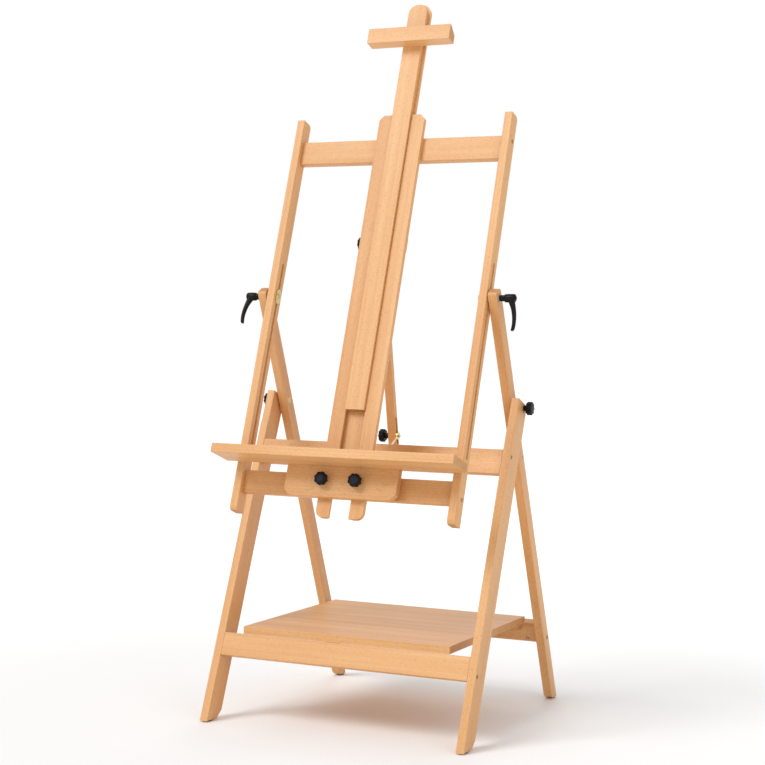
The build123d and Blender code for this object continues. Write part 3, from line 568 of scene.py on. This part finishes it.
# Each knob: its node, the node it turns round, its body, where it faces, its neck and its turn
KNOBS = [
    ("pivot_knob_left", "pivot_stud_left", "pivot_clamp_left", to_left, SHORT_STEM, 6.0),
    ("pivot_knob_right", "pivot_stud_right", "pivot_clamp_right", to_right, SHORT_STEM, 17.0),
    ("tray_knob_left", "tray_stud_left", "tray_clamp_left", panel_front, SHORT_STEM, 8.0),
    ("tray_knob_right", "tray_stud_right", "tray_clamp_right", panel_front, SHORT_STEM, 0.0),
    ("mast_lock_knob", "mast_lock_knob", "mast_lock", to_left, LONG_STEM, 12.0),
    ("strut_knob", "strut_knob_stud", "strut_clamp", to_left, LONG_STEM, 20.0),
]


def make_knobs():
    heads = {stem: (star_knob(stem), knob_cap(stem)) for stem in (SHORT_STEM, LONG_STEM)}
    for node, stud, body, direction, stem, spin in KNOBS:
        place = Matrix.Translation(knob_axis(node, stud, direction)) @ facing(direction, spin)
        head, cap = heads[stem]
        settle(head, node + "_star", place, black_plastic, body, [node])
        settle(cap, node + "_cap", place, slate_cap, body)
    for pair in heads.values():
        for model in pair:
            bpy.data.objects.remove(model)


# ---------------------------------------------------------------- clamp levers
def lever_hub():
    """The ratchet lever's collar and hub, turned along +Z from its base."""
    return finish_piece(turned("lever_hub", HUB_STATIONS), HUB_ROUNDING)


def lever_button():
    """The push button in the hub's end."""
    return finish_piece(turned("lever_button", BUTTON_STATIONS, 32), CAP_ROUNDING)


def lever_arm():
    """The curved arm, with the hub's axis along +Z and the arm hanging along -Y."""
    drop, out, half_width, half_depth = ARM_STATIONS[0]
    arm = start("lever_arm", bpy.ops.mesh.primitive_circle_add, vertices=12, radius=1.0,
                fill_type="NGON", rotation=(math.radians(90.0), 0.0, 0.0))
    apply_place()
    pick(arm, lambda centre, normal: True)
    bpy.ops.transform.resize(value=(half_depth, 1.0, half_width))
    bpy.ops.transform.translate(value=(0.0, drop, out))
    for next_drop, next_out, next_width, next_depth in ARM_STATIONS[1:]:
        grow((0.0, next_drop, next_out), (0.0, next_drop - drop, next_out - out),
             (next_depth / half_depth, 1.0, next_width / half_width))
        drop, out, half_width, half_depth = next_drop, next_out, next_width, next_depth
    turn_outwards()
    return finish_piece(arm, smooth_levels=2)


def make_levers():
    models = {"hub": lever_hub(), "button": lever_button(), "arm": lever_arm()}
    pivot = Vector(joint("panel_tilt")["pos_m"])
    for side, name, swing in ((-1, "left", LEFT_LEVER_SWING), (1, "right", 0.0)):
        node = "clamp_lever_" + name
        low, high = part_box(node)
        base = low[0] if side > 0 else high[0]
        to_side = Matrix(((0, 0, side, 0), (1, 0, 0, 0), (0, 1, 0, 0), (0, 0, 0, 1)))
        place = (Matrix.Translation((base, pivot.y, pivot.z))
                 @ Matrix.Rotation(math.radians(-swing), 4, "X") @ to_side)
        body = "lever_" + name
        settle(models["hub"], node + "_hub", place, black_enamel, body, [node])
        settle(models["arm"], node + "_arm", place, black_enamel, body)
        settle(models["button"], node + "_button", place, black_plastic, body)
    for model in models.values():
        bpy.data.objects.remove(model)


make_knobs()
make_levers()


# ---------------------------------------------------------------- studio
# The camera's place in metres, its angles in degrees and its lens in millimetres
CAMERA_PLACE = Vector((1.74307, -3.82922, 0.92045))
CAMERA_AZIMUTH = 24.87
CAMERA_DROP = 1.45
CAMERA_ROLL = 1.016
CAMERA_LENS = 80.1
SENSOR_WIDTH = 36.0

# The key comes from the upper left in front; the fill and the rim are large soft lamps
WHITE = (1.0, 1.0, 1.0, 1.0)
KEY_TOWARDS = (-0.42, -0.62, 0.80)
KEY_STRENGTH = 1.45
KEY_SOFTNESS = 28.0
FILL_PLACE = (3.6, -2.4, 2.2)
FILL_AIM = (0.0, 0.0, 0.9)
FILL_SIZE = 3.0
FILL_POWER = 28.0
RIM_PLACE = (-1.0, 3.6, 3.2)
RIM_AIM = (0.0, 0.0, 1.0)
RIM_SIZE = 2.5
RIM_POWER = 30.0
ROOM_LIGHT = 0.62
BACKDROP_LIGHT = 1.0

# The floor, which brightens with distance from the easel to meet the backdrop
FLOOR_RADIUS = 40.0
FLOOR_DARK = (0.93, 0.93, 0.93, 1.0)
FLOOR_LIGHT = (0.95, 0.95, 0.95, 1.0)
GLOW_FROM = 1.0
GLOW_TO = 3.5
GLOW_STRENGTH = 0.22


def add_camera():
    azimuth, drop = math.radians(CAMERA_AZIMUTH), math.radians(CAMERA_DROP)
    ahead = Vector((-math.sin(azimuth) * math.cos(drop), math.cos(azimuth) * math.cos(drop),
                    -math.sin(drop)))
    right = Vector((math.cos(azimuth), math.sin(azimuth), 0.0))
    roll = Matrix.Rotation(math.radians(CAMERA_ROLL), 3, -ahead)
    right = roll @ right
    up = right.cross(ahead)
    lens = bpy.data.cameras.new("camera")
    lens.lens = CAMERA_LENS
    lens.sensor_width = SENSOR_WIDTH
    camera = bpy.data.objects.new("camera", lens)
    turn = Matrix((right, up, -ahead)).transposed().to_4x4()
    camera.matrix_world = Matrix.Translation(CAMERA_PLACE) @ turn
    bpy.context.collection.objects.link(camera)
    bpy.context.scene.camera = camera


def add_light(name, place, aim, size, power):
    """A round soft lamp at a place, aimed at a point."""
    lamp = bpy.data.lights.new(name, "AREA")
    lamp.shape = "DISK"
    lamp.size = size
    lamp.energy = power
    holder = bpy.data.objects.new(name, lamp)
    holder.location = place
    heading = Vector(aim) - Vector(place)
    holder.rotation_euler = heading.to_track_quat("-Z", "Y").to_euler()
    bpy.context.collection.objects.link(holder)


def add_sun(name, towards, strength, softness):
    """A sun seen from the easel in the given direction, with its angular size in degrees."""
    lamp = bpy.data.lights.new(name, "SUN")
    lamp.energy = strength
    lamp.angle = math.radians(softness)
    holder = bpy.data.objects.new(name, lamp)
    holder.rotation_euler = Vector(towards).to_track_quat("Z", "Y").to_euler()
    bpy.context.collection.objects.link(holder)


def add_floor():
    floor = start("floor", bpy.ops.mesh.primitive_circle_add, vertices=96, radius=FLOOR_RADIUS,
                  fill_type="NGON")
    material, tree, shader = new_material("pale_floor")
    place = tree.nodes.new("ShaderNodeTexCoord")
    cloud = noise(tree, place.outputs["Object"], 1.5)
    tone = mix_colour(tree, cloud, FLOOR_DARK, FLOOR_LIGHT)
    tree.links.new(tone, shader.inputs["Base Color"])
    shader.inputs["Roughness"].default_value = 0.7
    shader.inputs["Specular IOR Level"].default_value = 0.2
    reach = tree.nodes.new("ShaderNodeVectorMath")
    reach.operation = "LENGTH"
    tree.links.new(place.outputs["Object"], reach.inputs[0])
    shader.inputs["Emission Color"].default_value = WHITE
    glow = remap(tree, reach.outputs["Value"], GLOW_FROM, GLOW_TO, 0.0, GLOW_STRENGTH)
    tree.links.new(glow, shader.inputs["Emission Strength"])
    floor.data.materials.append(material)


def light_studio():
    world = bpy.data.worlds.new("studio")
    bpy.context.scene.world = world
    world.use_nodes = True
    tree = world.node_tree
    background = tree.nodes["Background"]
    background.inputs["Color"].default_value = WHITE
    rays = tree.nodes.new("ShaderNodeLightPath")
    strength = remap(tree, rays.outputs["Is Camera Ray"], 0.0, 1.0, ROOM_LIGHT, BACKDROP_LIGHT)
    tree.links.new(strength, background.inputs["Strength"])
    bpy.context.scene.view_settings.view_transform = "Standard"
    add_sun("key", KEY_TOWARDS, KEY_STRENGTH, KEY_SOFTNESS)
    add_light("fill", FILL_PLACE, FILL_AIM, FILL_SIZE, FILL_POWER)
    add_light("rim", RIM_PLACE, RIM_AIM, RIM_SIZE, RIM_POWER)


add_camera()
add_floor()
light_studio()
